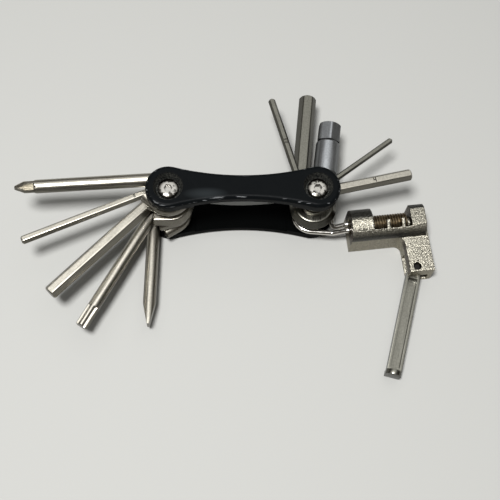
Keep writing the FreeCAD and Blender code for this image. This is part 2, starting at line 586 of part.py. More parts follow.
def lever():
    """Channel-shaped lever with an upright end tab, hinged in the arm's slot."""
    low = "Size.slot_low + Size.layer_gap"
    eye = rod("lever_eye", "Size.lever_half", "Size.lever_height", (0, 0, low))
    bar = box("lever_bar", (0, "-Size.lever_half", low),
              ("Size.lever_length", "2 * Size.lever_half", "Size.lever_height"))
    groove = box("lever_groove", ("Size.lever_groove_start", "-Size.lever_half + Size.lever_wall",
                                  low + " + Size.lever_floor"),
                 ("Size.lever_length - Size.lever_groove_start - Size.lever_wall",
                  "2 * (Size.lever_half - Size.lever_wall)", "Size.lever_height"))
    tab_disc = rod("lever_tab_disc", "Size.lever_tab_radius", "Size.lever_tab",
                   ("Size.lever_length", 0,
                    "Size.lever_tab_low + Size.lever_tab_height - Size.lever_tab_radius"), "X")
    tab_foot = box("lever_tab_foot", ("Size.lever_length", "-Size.lever_tab_radius", "Size.lever_tab_low"),
                   ("Size.lever_tab", "2 * Size.lever_tab_radius",
                    "Size.lever_tab_height - Size.lever_tab_radius"))
    hole = rod("lever_hole", "Size.lever_pin_radius + Size.run_gap", "Size.lever_height", (0, 0, low))
    made = cut("lever", fuse("lever_blank", [eye, bar, tab_disc, tab_foot]), [groove, hole])
    keep("lever", made)
    made.Placement.Rotation = FreeCAD.Rotation(Z, 1.0)
    turn = "Size.chain_angle * 1 deg"
    bind(made, at_x="Size.pivot_distance / 2 + Size.lever_pin_x * cos(%s) - Size.lever_pin_y * sin(%s)"
         % (turn, turn),
         at_y="Size.lever_pin_x * sin(%s) + Size.lever_pin_y * cos(%s)" % (turn, turn))
    made.setExpression("Placement.Rotation.Angle", "Size.lever_angle")
    top = "Size.slab_height - Size.lever_pin_sink - Size.pin_bevel"
    pin = rod("lever_pin_rod", "Size.lever_pin_radius", top + " - Size.lever_pin_sink",
              ("Size.lever_pin_x", "Size.lever_pin_y", "Size.lever_pin_sink"))
    end = cone("lever_pin_end", "Size.lever_pin_radius", "Size.lever_pin_radius - Size.pin_bevel",
               "Size.pin_bevel", ("Size.lever_pin_x", "Size.lever_pin_y", top))
    stand(keep("lever_pin", fuse("lever_pin", [pin, end])), 1, "0", "Size.chain_angle")


# Bail: one round wire, wound loosely round the right pivot, whose two legs rise into the
# driver screw's socket.

def rounded_wire(points, radii):
    """Straight runs joined by tangent arcs, one radius for each inner corner."""
    edges = []
    start = points[0]
    for before, corner, after, radius in zip(points, points[1:], points[2:], radii):
        inward = (before - corner).normalize()
        onward = (after - corner).normalize()
        half_open = inward.getAngle(onward) / 2
        run = radius / math.tan(half_open)
        first = corner + inward * run
        last = corner + onward * run
        bisector = (inward + onward).normalize()
        middle = corner + bisector * (radius / math.sin(half_open) - radius)
        edges.append(Part.LineSegment(start, first).toShape())
        edges.append(Part.Arc(first, middle, last).toShape())
        start = last
    edges.append(Part.LineSegment(start, points[-1]).toShape())
    return Part.Wire(edges)


def bail():
    loop = size("bail_radius")
    low = size("plate_thick") + 2 * size("layer_gap") + size("spacer_thick") + size("wire_radius")
    high = size("slab_height")
    axis = size("barrel_y")
    spread = size("leg_spread")
    end = size("leg_end")
    level_from = size("leg_level_from")
    leg = size("leg_start")
    wire = size("wire_radius")
    points = [
        FreeCAD.Vector(end, axis - spread, high),
        FreeCAD.Vector(level_from, axis - spread, high),
        FreeCAD.Vector(leg, axis - size("leg_front"), low),
        FreeCAD.Vector(-loop, -loop, low),
        FreeCAD.Vector(-loop, loop, low),
        FreeCAD.Vector(loop, loop, low),
        FreeCAD.Vector(leg, axis + spread, low),
        FreeCAD.Vector(level_from, axis + spread, high),
        FreeCAD.Vector(end, axis + spread, high),
    ]
    bend = size("wire_bend")
    corner = loop - size("bail_flat")
    path = rounded_wire(points, [bend, bend, corner, corner, loop - size("bail_ease"), bend, bend])
    circle = Part.Wire([Part.Circle(points[0], X, wire).toShape()])
    made = doc.addObject("Part::Feature", "chain_tool_bail")
    made.Shape = path.makePipeShell([circle], True, False)
    made.Placement = FreeCAD.Placement(FreeCAD.Vector(size("pivot_distance") / 2, 0, 0),
                                       FreeCAD.Rotation(Z, size("chain_angle")))
    keep("chain_tool_bail", made)


plates()
pivots()
left_tools()
right_tools()
adapter()
chain_tool_body()
driver()
lever()
bail()
doc.recompute()

faults = [o.Name for o in doc.Objects if "Invalid" in o.State or "Error" in o.State]
if faults:
    raise RuntimeError("objects that failed: " + ", ".join(faults))
for node, thing in nodes.items():
    if thing.Shape.isNull() or not thing.Shape.isValid():
        raise RuntimeError("bad shape: " + node)

os.makedirs("parts", exist_ok=True)
for node, thing in nodes.items():
    thing.Shape.exportStep("parts/%s.step" % node)
    print("%-18s solids %d  volume %8.2f mm3" % (node, len(thing.Shape.Solids), thing.Shape.Volume))
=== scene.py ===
import bmesh
import bpy
import json
import math
from mathutils import Matrix, Vector


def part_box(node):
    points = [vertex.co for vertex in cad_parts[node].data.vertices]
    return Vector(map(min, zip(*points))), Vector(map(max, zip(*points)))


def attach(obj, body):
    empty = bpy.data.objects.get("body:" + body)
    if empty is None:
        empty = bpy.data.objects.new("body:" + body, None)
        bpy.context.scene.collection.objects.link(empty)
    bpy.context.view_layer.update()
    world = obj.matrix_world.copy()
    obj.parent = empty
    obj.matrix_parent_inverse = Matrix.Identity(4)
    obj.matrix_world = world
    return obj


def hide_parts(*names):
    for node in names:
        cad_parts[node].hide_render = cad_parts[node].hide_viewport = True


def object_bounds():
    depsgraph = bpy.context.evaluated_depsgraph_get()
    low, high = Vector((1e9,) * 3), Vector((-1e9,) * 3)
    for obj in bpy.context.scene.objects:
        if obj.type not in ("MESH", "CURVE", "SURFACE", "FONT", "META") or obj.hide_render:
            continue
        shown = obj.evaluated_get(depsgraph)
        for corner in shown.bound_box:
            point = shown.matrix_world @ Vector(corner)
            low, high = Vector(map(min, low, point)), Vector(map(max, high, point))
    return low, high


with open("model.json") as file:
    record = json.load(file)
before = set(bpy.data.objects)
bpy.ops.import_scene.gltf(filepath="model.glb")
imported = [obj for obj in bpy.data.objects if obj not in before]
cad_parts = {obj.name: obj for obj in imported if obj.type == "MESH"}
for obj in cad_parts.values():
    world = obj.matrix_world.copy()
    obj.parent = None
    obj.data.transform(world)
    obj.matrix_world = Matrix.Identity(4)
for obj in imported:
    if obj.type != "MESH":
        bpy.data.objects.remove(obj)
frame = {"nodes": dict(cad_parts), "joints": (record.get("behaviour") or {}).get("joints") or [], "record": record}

# A folding bicycle multi-tool lies opened out on its lower plate: nine keys and drivers and an
# 8 mm adapter swing on two bolts between black plates, and a chain tool hangs on a wire bail.
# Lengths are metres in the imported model's frame, +X from the left bolt to the right one.
cad_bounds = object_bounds()
MM = 0.001
low_corner = Vector(cad_bounds[0])
joint_at = {joint["name"]: Vector(joint["pos_m"]) for joint in frame["joints"] if "pos_m" in joint}
mounts = {mount["name"]: mount for mount in frame["record"]["mounts"]}
LEFT_BOLT = joint_at["cross_swing"]
RIGHT_BOLT = joint_at["chain_tool_swing"]


# The table: a plain pale top under a soft overhead light from the front left, in a room that is
# bright above and dimmer near the horizon, so that steel shows light flats and dark flanks.
FLOOR_SPAN = 3.0
FLOOR_ROUGH = 0.9
FLOOR_SHINE = 0.1
FLOOR_COLOUR = (0.425, 0.425, 0.408, 1.0)
SKY_HIGH = (0.90, 0.91, 0.90, 1.0)
SKY_LOW = (0.055, 0.050, 0.041, 1.0)
PANEL_TOWARDS = Vector((0.06, 0.30, 0.95)).normalized()
PANEL_EDGE = 0.72
PANEL_FULL = 0.96
KEY_FROM = Vector((-0.155, -0.18, 0.95)).normalized()
KEY_DISTANCE = 0.8
KEY_WIDTH = 0.17
KEY_WATTS = 8.6


def node_material(name):
    """A new node material and its Principled shader."""
    material = bpy.data.materials.new(name)
    material.use_nodes = True
    return material, material.node_tree.nodes["Principled BSDF"]


def linked(owner, kind, inputs, output=0, **settings):
    """A new shader node's output: each input takes a number, a colour or another output."""
    node = owner.node_tree.nodes.new(kind)
    for key, value in settings.items():
        setattr(node, key, value)
    for key, value in inputs.items():
        if isinstance(value, bpy.types.NodeSocket):
            owner.node_tree.links.new(value, node.inputs[key])
        else:
            node.inputs[key].default_value = value
    return node.outputs[output]


def feed(owner, node, socket, value):
    """Link an output into a shader's socket."""
    owner.node_tree.links.new(value, node.inputs[socket])


def ramp(owner, value, low, high, to_low=0.0, to_high=1.0, **settings):
    """A value carried from one range to another and held at its ends."""
    return linked(owner, "ShaderNodeMapRange", {"Value": value, "From Min": low, "From Max": high,
                                                "To Min": to_low, "To Max": to_high}, **settings)


def blend(owner, share, first, second):
    """A colour between two."""
    return linked(owner, "ShaderNodeMix", {0: share, 6: first, 7: second}, 2, data_type="RGBA")


def shown(name, shape):
    """An object at the origin from a bmesh, which is then freed."""
    piece = bpy.data.objects.new(name, bpy.data.meshes.new(name))
    shape.to_mesh(piece.data)
    shape.free()
    bpy.context.scene.collection.objects.link(piece)
    return piece


table_top = bmesh.new()
bmesh.ops.create_grid(table_top, x_segments=1, y_segments=1, size=FLOOR_SPAN / 2)
bmesh.ops.translate(table_top, verts=table_top.verts, vec=(0, 0, low_corner.z))
floor = shown("floor", table_top)
pale_top, pale_shader = node_material("pale_top")
pale_shader.inputs["Base Color"].default_value = FLOOR_COLOUR
pale_shader.inputs["Roughness"].default_value = FLOOR_ROUGH
pale_shader.inputs["Specular IOR Level"].default_value = FLOOR_SHINE
floor.data.materials.append(pale_top)

room = bpy.data.worlds.new("room")
room.use_nodes = True
bpy.context.scene.world = room
facing = linked(room, "ShaderNodeTexCoord", {}, "Generated")
towards = linked(room, "ShaderNodeVectorMath", {0: facing, 1: PANEL_TOWARDS}, "Value", operation="DOT_PRODUCT")
rise = ramp(room, towards, PANEL_EDGE, PANEL_FULL, interpolation_type="SMOOTHSTEP")
feed(room, room.node_tree.nodes["Background"], "Color", blend(room, rise, SKY_LOW, SKY_HIGH))

lamp = bpy.data.lights.new("ceiling_lamp", "AREA")
lamp.shape = "DISK"
lamp.size = KEY_WIDTH
lamp.energy = KEY_WATTS
ceiling = bpy.data.objects.new("ceiling_lamp", lamp)
ceiling.location = KEY_FROM * KEY_DISTANCE
ceiling.rotation_euler = KEY_FROM.to_track_quat("Z", "Y").to_euler()
bpy.context.scene.collection.objects.link(ceiling)


# The camera looks down at the tool from in front, slightly to the left and slightly rolled.
CAMERA_AT = Vector((-13.5889, -141.2227, 341.7807)) * MM
CAMERA_RISE = math.radians(69.2059)
CAMERA_TURN = math.radians(-7.5283)
CAMERA_ROLL = math.radians(6.7916)
CAMERA_LENS = 68.4
SENSOR = 36.0
NEAREST = 0.01
away = Vector((math.sin(CAMERA_TURN) * math.cos(CAMERA_RISE),
               -math.cos(CAMERA_TURN) * math.cos(CAMERA_RISE), math.sin(CAMERA_RISE)))
level = Vector((math.cos(CAMERA_TURN), math.sin(CAMERA_TURN), 0))
rolled = Matrix.Rotation(CAMERA_ROLL, 3, away)
view_right = rolled @ level
view_up = away.cross(view_right)
eye = bpy.data.cameras.new("camera")
eye.lens = CAMERA_LENS
eye.sensor_width = SENSOR
eye.clip_start = NEAREST
camera = bpy.data.objects.new("camera", eye)
turned = Matrix((view_right, view_up, away)).transposed().to_4x4()
camera.matrix_world = Matrix.Translation(CAMERA_AT) @ turned
bpy.context.scene.collection.objects.link(camera)
bpy.context.scene.camera = camera
bpy.context.scene.view_settings.view_transform = "Standard"


# Side plates: forged aluminium with a satin black coat, worn to bare metal in small nicks along
# the edges, with a painted sheen at the waist and grainy in the recess round each bolt. Both are
# clamped by the two bolts. Scales of patterns are features to a metre.
COAT_BLACK = (0.0035, 0.0042, 0.0047, 1.0)
PAINTED_SHADE_BLACK = (0.0012, 0.0014, 0.0014, 1.0)
BARE_GREY = (0.16, 0.165, 0.17, 1.0)
RING_GREY = (0.055, 0.055, 0.049, 1.0)
PAINTED_SHEEN_GREY = (0.023, 0.027, 0.029, 1.0)
PAINTED_SHEEN_AT = (-13.5 * MM, -3.0 * MM, 0.0)
PAINTED_SHEEN_SPAN = (10.0 * MM, 3.0 * MM, 60.0 * MM)
PAINTED_SHEEN_CORE = 0.3
RECESS_RADIUS = 5.5 * MM
RECESS_FADE = 0.4 * MM
COAT_SHINE = 0.035
PAINTED_SHADE_SHINE = 0.01
COAT_ROUGH = (0.30, 0.46)
BLOTCHES = 420.0
NICKS = (260.0, 1500.0, 1500.0)
SPECKS = 2200.0
COAT_GRAIN = 2600.0
COAT_GRAIN_STRENGTH = 0.25
COAT_GRAIN_DEPTH = 0.12 * MM


def noise(material, place, scale, detail):
    """Noise with so many features to a metre."""
    return linked(material, "ShaderNodeTexNoise", {"Vector": place, "Scale": scale, "Detail": detail}, "Fac")


def worked(material, operation, first, second=0.0):
    return linked(material, "ShaderNodeMath", {0: first, 1: second}, operation=operation)


def own_place(material):
    return linked(material, "ShaderNodeTexCoord", {}, "Object")


def own_normal(material, part):
    """One part of the surface's direction, in the piece's own frame."""
    normal = linked(material, "ShaderNodeTexCoord", {}, "Normal")
    return linked(material, "ShaderNodeSeparateXYZ", {0: normal}, part)


def rough_up(material, shader, height, strength, depth):
    """Tilt the surface by a pattern that stands so deep."""
    feed(material, shader, "Normal",
         linked(material, "ShaderNodeBump", {"Strength": strength, "Distance": depth, "Height": height}))


def black_coat(name, black, painted_sheen, shine):
    """Satin black: nicked along its edges, with a painted sheen at the waist, grainy round each bolt."""
    material, shader = node_material(name)
    place = own_place(material)
    slope = worked(material, "ABSOLUTE", own_normal(material, "Z"))
    rim = worked(material, "MULTIPLY", ramp(material, slope, 0.30, 0.55),
                 ramp(material, slope, 0.80, 0.96, 1.0, 0.0))
    stretch = linked(material, "ShaderNodeMapping", {"Vector": place, "Scale": NICKS})
    chips = ramp(material, noise(material, stretch, 1.0, 3.0), 0.60, 0.66)
    worn = worked(material, "MULTIPLY", rim, chips)
    # The grey patch at the waist is a painted sheen: a highlight painted into the coat's colour.
    patch = linked(material, "ShaderNodeMapping",
                   {"Vector": place, "Location": PAINTED_SHEEN_AT, "Scale": PAINTED_SHEEN_SPAN}, vector_type="TEXTURE")
    away_from = linked(material, "ShaderNodeVectorMath", {0: patch}, "Value", operation="LENGTH")
    base = blend(material, ramp(material, away_from, 1.0, PAINTED_SHEEN_CORE), black, painted_sheen)
    flat_place = linked(material, "ShaderNodeVectorMath", {0: place, 1: (1, 1, 0)}, operation="MULTIPLY")
    nearest = 1.0
    for bolt in (LEFT_BOLT, RIGHT_BOLT):
        reach = linked(material, "ShaderNodeVectorMath", {0: flat_place, 1: (bolt.x, bolt.y, 0)}, "Value",
                       operation="DISTANCE")
        nearest = worked(material, "MINIMUM", reach, nearest)
    bright = ramp(material, noise(material, place, SPECKS, 2.0), 0.4, 0.65)
    recess = ramp(material, nearest, RECESS_RADIUS, RECESS_RADIUS - RECESS_FADE)
    base = blend(material, worked(material, "MULTIPLY", bright, recess), base, RING_GREY)
    feed(material, shader, "Base Color", blend(material, worn, base, BARE_GREY))
    blotch = noise(material, place, BLOTCHES, 4.0)
    feed(material, shader, "Roughness", ramp(material, blotch, 0.3, 0.7, *COAT_ROUGH))
    rough_up(material, shader, noise(material, place, COAT_GRAIN, 2.0), COAT_GRAIN_STRENGTH, COAT_GRAIN_DEPTH)
    shader.inputs["Specular IOR Level"].default_value = shine
    return material


def recoat(node, material):
    """Give a carried-over node its material."""
    frame["nodes"][node].data.materials.clear()
    frame["nodes"][node].data.materials.append(material)


recoat("top_plate", black_coat("satin_black_coat", COAT_BLACK, PAINTED_SHEEN_GREY, COAT_SHINE))
# The lower plate gets a darker, less shiny copy of the coat: painted shade under the stack of tools.
recoat("bottom_plate", black_coat("painted_shade_black_coat", PAINTED_SHADE_BLACK, PAINTED_SHADE_BLACK, PAINTED_SHADE_SHINE))


# Pivot bolts: polished button heads, 7.6 mm wide and 1.8 mm high, with a 2.5 mm hexagon socket
# 1.2 mm deep and painted shade on their front and rear slopes. Each is one skin, drawn ring by
# ring from the end of its 4 mm shank. The nuts, bushes, spacer and the chain tool's wire bail have
# the same nickel plate.
NICKEL = (0.64, 0.615, 0.57, 1.0)
PAINTED_SLOPE_SHADE = (0.05, 0.047, 0.04, 1.0)
HAZE = 900.0
NICKEL_ROUGH = (0.12, 0.26)
HEAD_ROUGH = 0.2
HEAD_RADIUS = 3.8 * MM
HEAD_HEIGHT = 1.8 * MM
RIM_HEIGHT = 1.15 * MM
RIM_LEAN = math.radians(30)
RIM_EDGE = 0.12 * MM
SHANK_RADIUS = 2.0 * MM
SOCKET_AF = 2.5 * MM
SOCKET_DEPTH = 1.2 * MM
SOCKET_FLAT = 0.35 * MM
SOCKET_EDGE = 0.1 * MM
HEAD_SIDES = 48
DOME_RINGS = 9
CREASE = math.radians(32)
SAME_POINT = 1e-7


def bright_nickel():
    material, shader = node_material("polished_nickel")
    haze = noise(material, own_place(material), HAZE, 5.0)
    feed(material, shader, "Roughness", ramp(material, haze, 0.3, 0.75, *NICKEL_ROUGH))
    shader.inputs["Base Color"].default_value = NICKEL
    shader.inputs["Metallic"].default_value = 1.0
    return material


def head_nickel():
    """Polished nickel with painted shade on the front and rear slopes of a head, broken up by noise."""
    material, shader = node_material("head_nickel")
    # The front and rear slopes are painted dark: painted shade, broken up by noise.
    painted_shade_slope = worked(material, "ABSOLUTE", own_normal(material, "Y"))
    uneven = worked(material, "ADD", painted_shade_slope, noise(material, own_place(material), HAZE, 2.0))
    feed(material, shader, "Base Color", blend(material, ramp(material, uneven, 0.60, 0.74), NICKEL, PAINTED_SLOPE_SHADE))
    shader.inputs["Roughness"].default_value = HEAD_ROUGH
    shader.inputs["Metallic"].default_value = 1.0
    return material


def drawn_out(shape, edges, move):
    """Extrude a ring of edges and move the new ring; the new edges come back."""
    new = bmesh.ops.extrude_edge_only(shape, edges=edges)["geom"]
    bmesh.ops.translate(shape, verts=[v for v in new if isinstance(v, bmesh.types.BMVert)], vec=move)
    return [e for e in new if isinstance(e, bmesh.types.BMEdge)]


def ring_verts(edges):
    return list({vert for edge in edges for vert in edge.verts})


def crisp(piece, angle=CREASE):
    """Smooth shading with creases where faces meet at more than an angle."""
    shape = bmesh.new()
    shape.from_mesh(piece.data)
    bmesh.ops.remove_doubles(shape, verts=shape.verts, dist=SAME_POINT)
    bmesh.ops.recalc_face_normals(shape, faces=shape.faces)
    for face in shape.faces:
        face.smooth = True
    for edge in shape.edges:
        edge.smooth = len(edge.link_faces) == 2 and edge.calc_face_angle(0.0) < angle
    shape.to_mesh(piece.data)
    shape.free()
    weighted = piece.modifiers.new("even_flats", "WEIGHTED_NORMAL")
    weighted.keep_sharp = True
    return piece


def upright_ring(shape, edges, radius, height, hexagon=False):
    """Draw a new ring round the Z axis, as a circle or as a hexagon across its flats."""
    ring = drawn_out(shape, edges, (0, 0, 0))
    for vert in ring_verts(ring):
        angle = math.atan2(vert.co.y, vert.co.x)
        reach = radius
        if hexagon:
            reach = radius / math.cos(angle % math.radians(60) - math.radians(30))
        vert.co = Vector((reach * math.cos(angle), reach * math.sin(angle), height))
    return ring


def button_bolt(name, node, bolt):
    low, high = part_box(node)
    seat = high.z - HEAD_HEIGHT
    shape = bmesh.new()
    foot = bmesh.ops.create_circle(shape, cap_ends=False, segments=HEAD_SIDES, radius=SHANK_RADIUS)["verts"]
    bmesh.ops.translate(shape, verts=foot, vec=(0, 0, low.z))
    ring = list(shape.edges)
    bmesh.ops.contextual_create(shape, geom=drawn_out(shape, ring, (0, 0, 0)))
    ring = upright_ring(shape, ring, SHANK_RADIUS, seat)
    ring = upright_ring(shape, ring, HEAD_RADIUS, seat)
    ring = upright_ring(shape, ring, HEAD_RADIUS, seat + RIM_HEIGHT)
    flat = SOCKET_AF / 2 + SOCKET_FLAT
    for k in range(DOME_RINGS + 1):
        lean = RIM_LEAN * (1 - k / DOME_RINGS)
        share = math.sin(lean) / math.sin(RIM_LEAN)
        drop = (1 - math.cos(lean)) / (1 - math.cos(RIM_LEAN))
        ring = upright_ring(shape, ring, flat + (HEAD_RADIUS - RIM_EDGE - flat) * share,
                            high.z - (HEAD_HEIGHT - RIM_HEIGHT - RIM_EDGE) * drop)
    ring = upright_ring(shape, ring, SOCKET_AF / 2 + SOCKET_EDGE, high.z, True)
    ring = upright_ring(shape, ring, SOCKET_AF / 2, high.z - RIM_EDGE, True)
    ring = upright_ring(shape, ring, SOCKET_AF / 2, high.z - SOCKET_DEPTH, True)
    bmesh.ops.contextual_create(shape, geom=ring)
    bmesh.ops.translate(shape, verts=shape.verts, vec=(bolt.x, bolt.y, 0))
    piece = crisp(shown(name, shape))
    piece.data.materials.append(head_finish)
    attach(piece, "handle")
    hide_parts(node)


polished = bright_nickel()
head_finish = head_nickel()
button_bolt("left_button_bolt", "left_pivot_bolt", LEFT_BOLT)
button_bolt("right_button_bolt", "right_pivot_bolt", RIGHT_BOLT)
for part in ("left_pivot_nut", "right_pivot_nut", "left_upper_bush", "left_lower_bush", "bail_bush",
             "right_spacer", "chain_tool_bail"):
    recoat(part, polished)


# Bent keys and drivers: hexagon or round steel bar, satin nickel plated. The plain end is wound
# round its bolt or bush as an open hook, and the far end is turned or ground to its tip.
HOOK_WRAP = math.radians(225.0)
SLOTTED_WRAP = math.radians(237.0)
HOOK_STEPS = 40
TAIL_EDGE = 0.35 * MM
WIDE_TAIL = 6.0 * MM
SLACK_TAIL = 6.2 * MM
TIGHT_TAIL = 3.6 * MM
KEY_5_SLACK = 0.8 * MM
STAR_SLACK = 0.78 * MM
ROUND_SIDES = 48
CORNER_ROUND = 0.07
TIP_CHAMFER = 0.7 * MM
STEEL = (0.55, 0.52, 0.45, 1.0)
DULL_STEEL = (0.24, 0.233, 0.20, 1.0)
CLOUD_SHADE = 0.8
PAINTED_FLANK_SHADE = 0.32
SATIN_ROUGH = 0.3
STREAKS = (120.0, 1900.0, 1900.0)
STREAK_STRENGTH = 0.25
STREAK_DEPTH = 0.03 * MM
CLOUDS = 1500.0


def darker(colour, share):
    """A colour with only a share of its light."""
    return tuple(share * channel for channel in colour[:3]) + (1.0,)


def satin_steel(name, turn, colour=STEEL, rough=SATIN_ROUGH):
    """Satin plate with fine streaks along a bar that points at an angle in the XY plane, and painted shade on its
    steep flanks.
    """
    material, shader = node_material(name)
    place = own_place(material)
    along = linked(material, "ShaderNodeMapping", {"Vector": place, "Rotation": (0, 0, -turn)})
    drawn = linked(material, "ShaderNodeMapping", {"Vector": along, "Scale": STREAKS})
    streak = noise(material, drawn, 1.0, 4.0)
    cloud = ramp(material, noise(material, place, CLOUDS, 4.0), 0.35, 0.65)
    plate = blend(material, cloud, colour, darker(colour, CLOUD_SHADE))
    # Faces that tilt away from up are painted darker: painted shade on the flanks.
    painted_shade_slope = ramp(material, own_normal(material, "Z"), 0.85, 0.45)
    feed(material, shader, "Base Color", blend(material, painted_shade_slope, plate, darker(colour, PAINTED_FLANK_SHADE)))
    feed(material, shader, "Roughness", ramp(material, streak, 0.3, 0.7, rough - 0.05, rough + 0.08))
    rough_up(material, shader, streak, STREAK_STRENGTH, STREAK_DEPTH)
    shader.inputs["Metallic"].default_value = 1.0
    return material


def bar_place(node, mount, bolt):
    """Where a bar lies: its thickness, its reach and offset from the bolt, and its place."""
    low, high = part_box(node)
    axis = Vector(mounts[mount]["axis"])
    tip = Vector(mounts[mount]["pos_m"]) - bolt
    left = Vector((-axis.y, axis.x, 0))
    turn = math.atan2(axis.y, axis.x)
    middle = Vector((bolt.x, bolt.y, (low.z + high.z) / 2))
    place = Matrix.Translation(middle) @ Matrix.Rotation(turn, 4, "Z")
    return high.z - low.z, tip.dot(axis), tip.dot(left), place, turn


def bar_ring(shape, across, sides, offset):
    """A bar's section standing across X: a circle, or a hexagon with flats up and soft corners."""
    corner = across / math.sqrt(3) if sides == 6 else across / 2
    ring = bmesh.ops.create_circle(shape, cap_ends=False, segments=sides, radius=corner)["verts"]
    bmesh.ops.rotate(shape, verts=ring, matrix=Matrix.Rotation(math.radians(90), 3, "Y"))
    if sides == 6:
        bmesh.ops.bevel(shape, geom=ring, offset=CORNER_ROUND * across, offset_type="OFFSET", segments=3,
                        profile=0.5, affect="VERTICES", material=-1)
        flats = [edge for edge in shape.edges if edge.calc_length() > across / 4]
        bmesh.ops.subdivide_edges(shape, edges=flats, cuts=5)
    bmesh.ops.translate(shape, verts=shape.verts, vec=(0, offset, 0))
    return list(shape.edges)


def turned_end(shape, edges, offset, point, slope=1.0):
    """Turn the end of a bar to a cone: every corner outside it slides back down the bar."""
    ring = ring_verts(edges)
    tip = drawn_out(shape, edges, (0, 0, 0))
    for vert in ring:
        radius = math.hypot(vert.co.y - offset, vert.co.z)
        vert.co.x -= max(radius - point, 0) * slope
    for vert in ring_verts(tip):
        radius = math.hypot(vert.co.y - offset, vert.co.z)
        share = min(point / radius, 1.0)
        vert.co.y = offset + (vert.co.y - offset) * share
        vert.co.z *= share
    bmesh.ops.contextual_create(shape, geom=tip)


def blunt_end(shape, ring, reach, offset, across):
    """Hexagon bar with a small cone chamfer."""
    turned_end(shape, drawn_out(shape, ring, (reach, 0, 0)), offset, across / math.sqrt(3) - TIP_CHAMFER)


def shaped_end(shape, ring, reach, offset, stations, outline):
    """Draw a bar through stations back from its tip; outline gives each ring's (y, z) there."""
    known = {vert: Vector((vert.co.y - offset, vert.co.z)) for vert in ring_verts(ring)}
    for back in stations:
        ring = drawn_out(shape, ring, (0, 0, 0))
        moved = {}
        for vert in ring_verts(ring):
            near = min(known, key=lambda old: (old.co - vert.co).length)
            moved[vert] = known[near]
        for vert, flat in moved.items():
            y, z = outline(flat, back)
            vert.co = Vector((reach - back, offset + y, z))
        known = moved
    bmesh.ops.contextual_create(shape, geom=ring)


# The cross tip: a cone whose four quarters are ground away over 8.5 mm, so that wings 1.3 mm
# thick stay. Stations are distances back from the point.
CROSS_HALF = 0.65 * MM
CROSS_LENGTH = 8.5 * MM
CROSS_RAMP = 1.6 * MM
CROSS_NOSE = 0.7 * MM
CROSS_SLOPE = 0.5
CROSS_ROLL = math.radians(22)
CROSS_STATIONS = (CROSS_LENGTH, 8.0 * MM, 7.4 * MM, 6.9 * MM, 5.2 * MM, 3.6 * MM, 2.4 * MM, 1.2 * MM, 0.0)


def cross_outline(flat, back):
    """Cone point whose quarters are ground away between four wings."""
    angle = math.atan2(flat.y, flat.x)
    lean = angle - CROSS_ROLL
    wing = CROSS_HALF + max(back - (CROSS_LENGTH - CROSS_RAMP), 0) / CROSS_RAMP * flat.length
    notch = wing / max(min(abs(math.cos(lean)), abs(math.sin(lean))), 1e-6)
    radius = min(flat.length, CROSS_NOSE + CROSS_SLOPE * back, notch)
    return radius * math.cos(angle), radius * math.sin(angle)


def cross_end(shape, ring, reach, offset, across):
    shaped_end(shape, ring, reach, offset, CROSS_STATIONS, cross_outline)


# The star tip: six round flutes, cut to the same depth over the last 8.5 mm of a round bar,
# and a small chamfer.
STAR_FLUTE = 0.85 * MM
STAR_CIRCLE = 2.55 * MM
STAR_LENGTH = 8.5 * MM
STAR_CHAMFER = 0.3 * MM
STAR_STATIONS = (STAR_LENGTH + 0.001 * MM, STAR_LENGTH - 0.5 * MM, 4.0 * MM, STAR_CHAMFER, 0.0)


def star_outline(flat, back):
    """Round bar with six round flutes over its last part and a small chamfer."""
    angle = math.atan2(flat.y, flat.x)
    lean = (angle + math.radians(30)) % math.radians(60) - math.radians(30)
    radius = flat.length
    miss = STAR_CIRCLE * math.sin(lean)
    if back < STAR_LENGTH and abs(miss) < STAR_FLUTE:
        radius = min(radius, STAR_CIRCLE * math.cos(lean) - math.sqrt(STAR_FLUTE ** 2 - miss ** 2))
    radius = min(radius, flat.length - STAR_CHAMFER + back)
    return radius * math.cos(angle), radius * math.sin(angle)


def star_end(shape, ring, reach, offset, across):
    shaped_end(shape, ring, reach, offset, STAR_STATIONS, star_outline)


# The blade tip: a round bar ground from both sides over 8.5 mm to an edge 0.9 mm thick that
# stands upright.
BLADE_HALF = 0.45 * MM
BLADE_LENGTH = 8.5 * MM
BLADE_STEPS = 8


def blade_outline(flat, back):
    """Round bar ground from both sides to a thin upright edge."""
    half = BLADE_HALF + (flat.length - BLADE_HALF) * min(back / BLADE_LENGTH, 1.0)
    return max(-half, min(half, flat.x)), flat.y


def blade_end(shape, ring, reach, offset, across):
    stations = [BLADE_LENGTH * k / BLADE_STEPS for k in range(BLADE_STEPS, -1, -1)]
    shaped_end(shape, ring, reach, offset, stations, blade_outline)


def hook_bar(name, node, mount, bolt, body, sides, tail, end, wrap=HOOK_WRAP, slack=0.0, colour=STEEL):
    """A bar wound round its bolt: a straight shaft, an open hook and a short tail. Slack widens
    the hook away from the shaft."""
    across, reach, offset, place, turn = bar_place(node, mount, bolt)
    hand = math.copysign(1, offset)
    shape = bmesh.new()
    ring = bar_ring(shape, across, sides, offset)
    wound = bmesh.ops.spin(shape, geom=ring, cent=(0, -hand * slack, 0), axis=(0, 0, hand), angle=wrap,
                           steps=HOOK_STEPS, use_duplicate=False)["geom_last"]
    last = [edge for edge in wound if isinstance(edge, bmesh.types.BMEdge)]
    onward = Matrix.Rotation(hand * wrap, 3, "Z") @ Vector((-1, 0, 0))
    back_end = drawn_out(shape, last, onward * (tail - TAIL_EDGE))
    rim = drawn_out(shape, back_end, onward * TAIL_EDGE)
    middle = sum((vert.co for vert in ring_verts(rim)), Vector()) / len(ring_verts(rim))
    for vert in ring_verts(rim):
        vert.co += (middle - vert.co).normalized() * TAIL_EDGE
    bmesh.ops.contextual_create(shape, geom=rim)
    end(shape, ring, reach, offset, across)
    bmesh.ops.transform(shape, matrix=place, verts=shape.verts)
    piece = crisp(shown(name, shape))
    piece.data.materials.append(satin_steel(name + "_finish", turn, colour))
    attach(piece, body)
    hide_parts(node)


